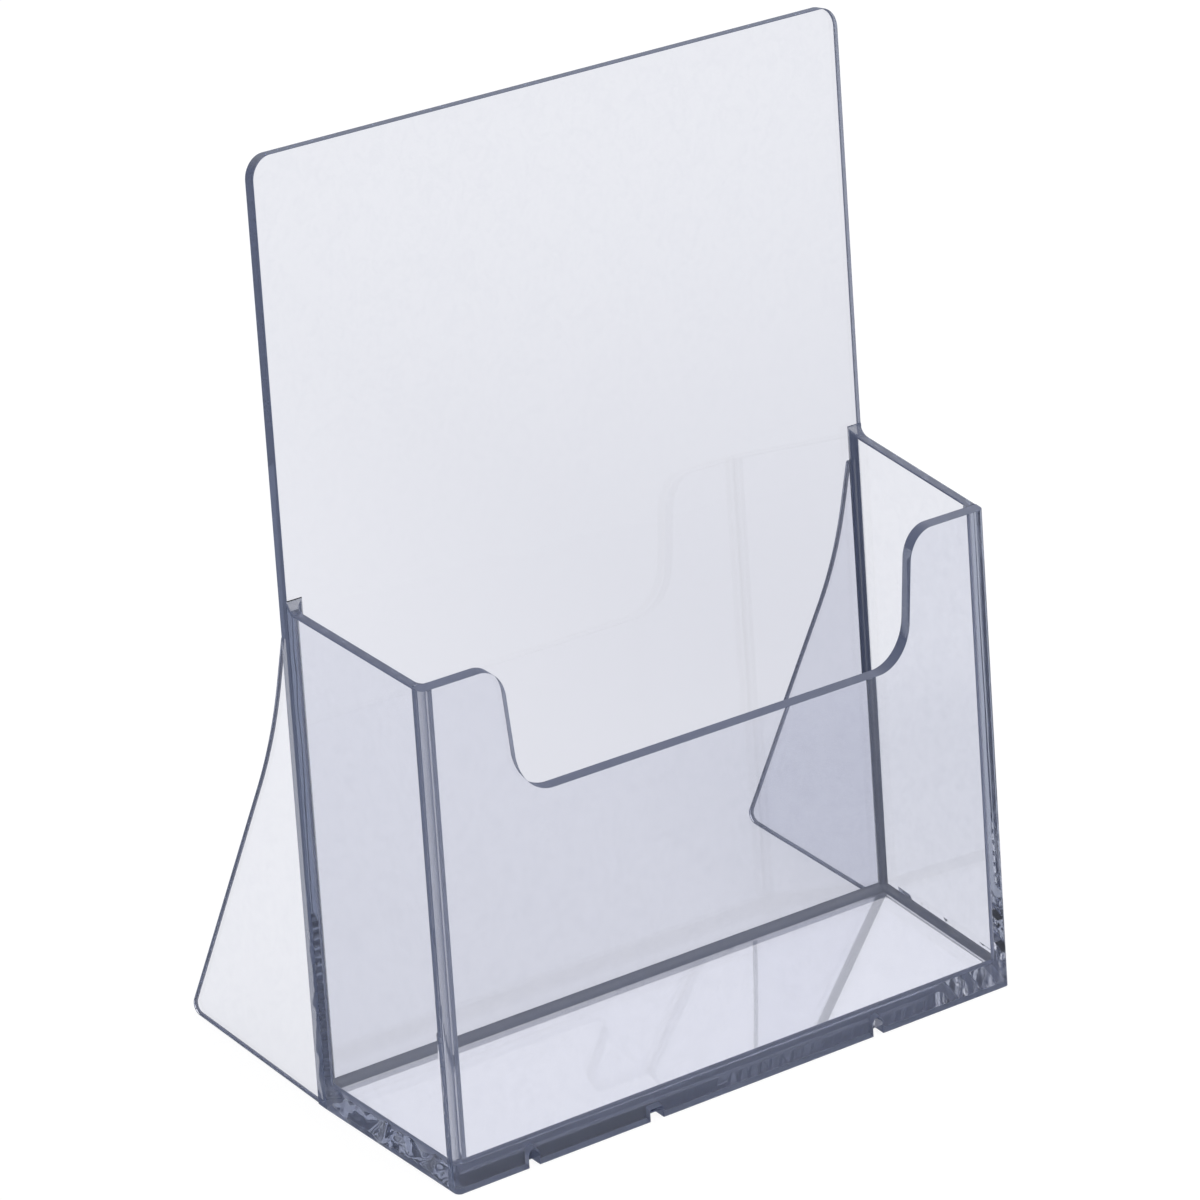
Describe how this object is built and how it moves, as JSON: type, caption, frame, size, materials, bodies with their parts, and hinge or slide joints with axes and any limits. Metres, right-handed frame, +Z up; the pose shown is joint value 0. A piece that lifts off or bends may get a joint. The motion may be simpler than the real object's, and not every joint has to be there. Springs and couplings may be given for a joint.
{
  "type": "counter-top magazine rack",
  "caption": "Clear plastic counter-top rack for A5 magazines and leaflets: a leaning back panel, an open-topped pocket with a thumb scoop in its front, and fin legs behind.",
  "frame": {"origin": "on the table, at the middle of the holder's bounding box", "axes": "+X to the right when the pocket is faced, +Y from the pocket's front to the legs, +Z up"},
  "size_m": [0.165, 0.0978, 0.1949],
  "materials": {
    "clear_styrene": "clear, polished, with a faint blue-grey cast at the edges"
  },
  "bodies": {
    "root": {"back_panel": "clear_styrene", "front_panel": "clear_styrene", "left_side_wall": "clear_styrene", "right_side_wall": "clear_styrene", "pocket_floor": "clear_styrene", "left_rear_leg": "clear_styrene", "right_rear_leg": "clear_styrene"}
  },
  "joints": []
}
